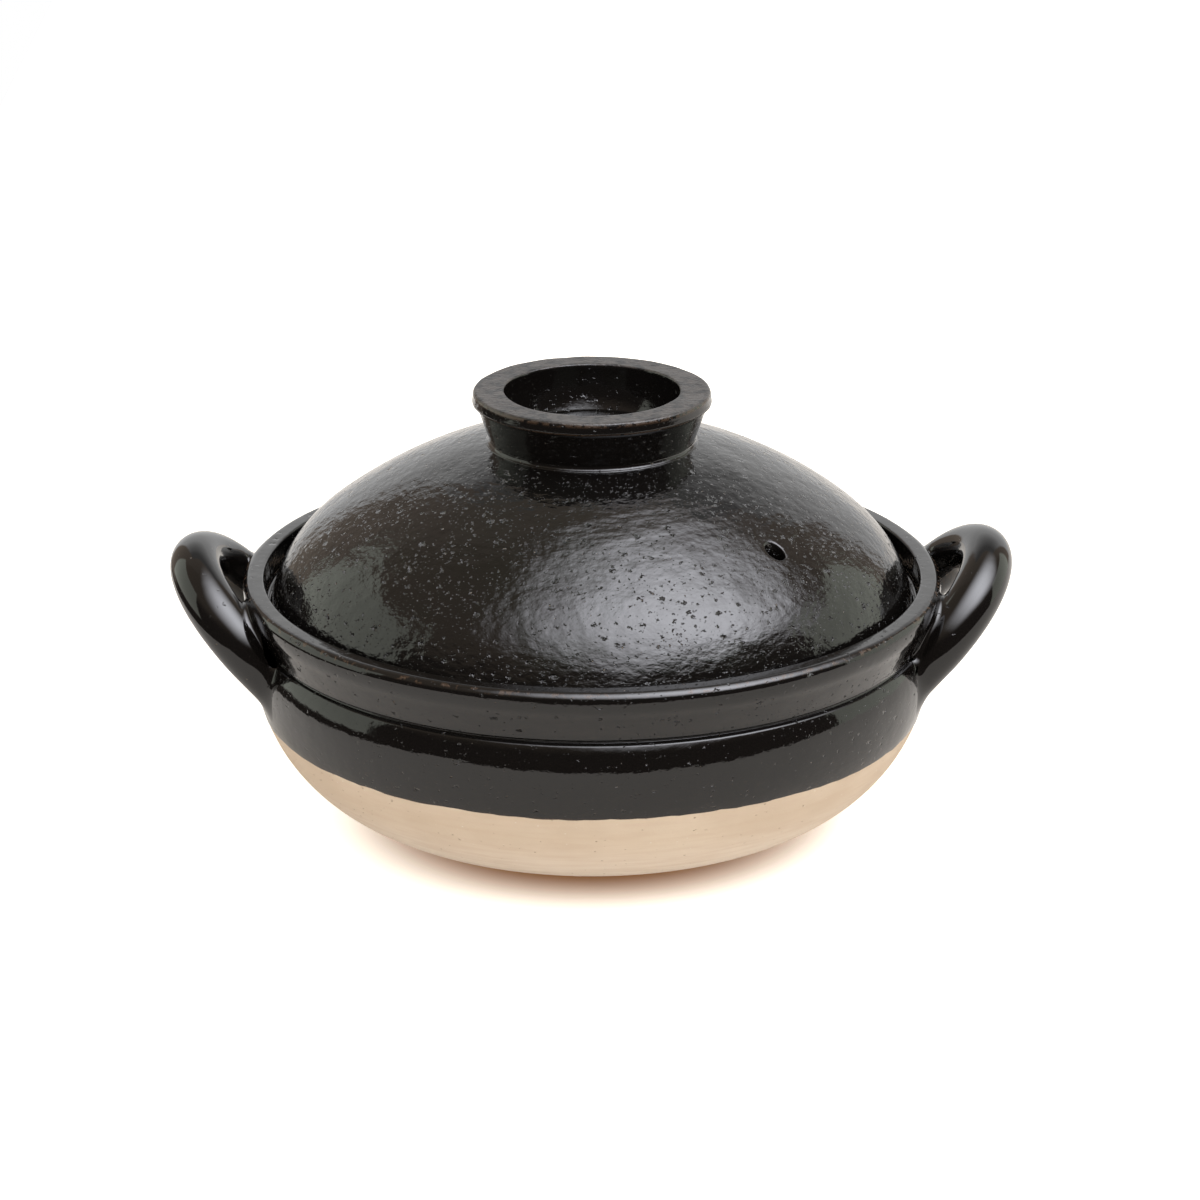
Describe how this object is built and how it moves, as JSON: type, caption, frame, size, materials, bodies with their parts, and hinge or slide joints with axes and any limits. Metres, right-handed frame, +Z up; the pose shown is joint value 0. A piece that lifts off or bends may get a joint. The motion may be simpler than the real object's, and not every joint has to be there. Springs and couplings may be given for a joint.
{
  "type": "donabe clay pot",
  "caption": "Round lidded clay cooking pot with a rounded bare-clay base, dark glazed collar, loop handles and a domed lid with a ring knob and steam hole.",
  "frame": {"origin": "centre of the flat foot, on the surface that the pot stands on", "axes": "+Z up along the axis of the bowl and lid, +X towards one handle, +Y towards the back, so that azimuth 0 looks at the front as in the picture"},
  "size_m": [0.3166, 0.262, 0.1672],
  "materials": {
    "bare_clay": "matte, sandy",
    "dark_glaze": "glossy, pitted",
    "inner_glaze": "glossy",
    "lid_glaze": "glossy, pitted and speckled"
  },
  "bodies": {
    "pot": {"bowl": "bare_clay", "outer_glaze": "dark_glaze", "inner_glaze": "inner_glaze", "handle_left": "dark_glaze", "handle_right": "dark_glaze"},
    "lid": {"lid_dome": "lid_glaze", "lid_knob": "lid_glaze"}
  },
  "joints": [
    {"name": "lid_lift", "type": "slide", "parent": "pot", "child": "lid", "axis": [0, 0, 1], "range_m": [0, 0.1]}
  ]
}
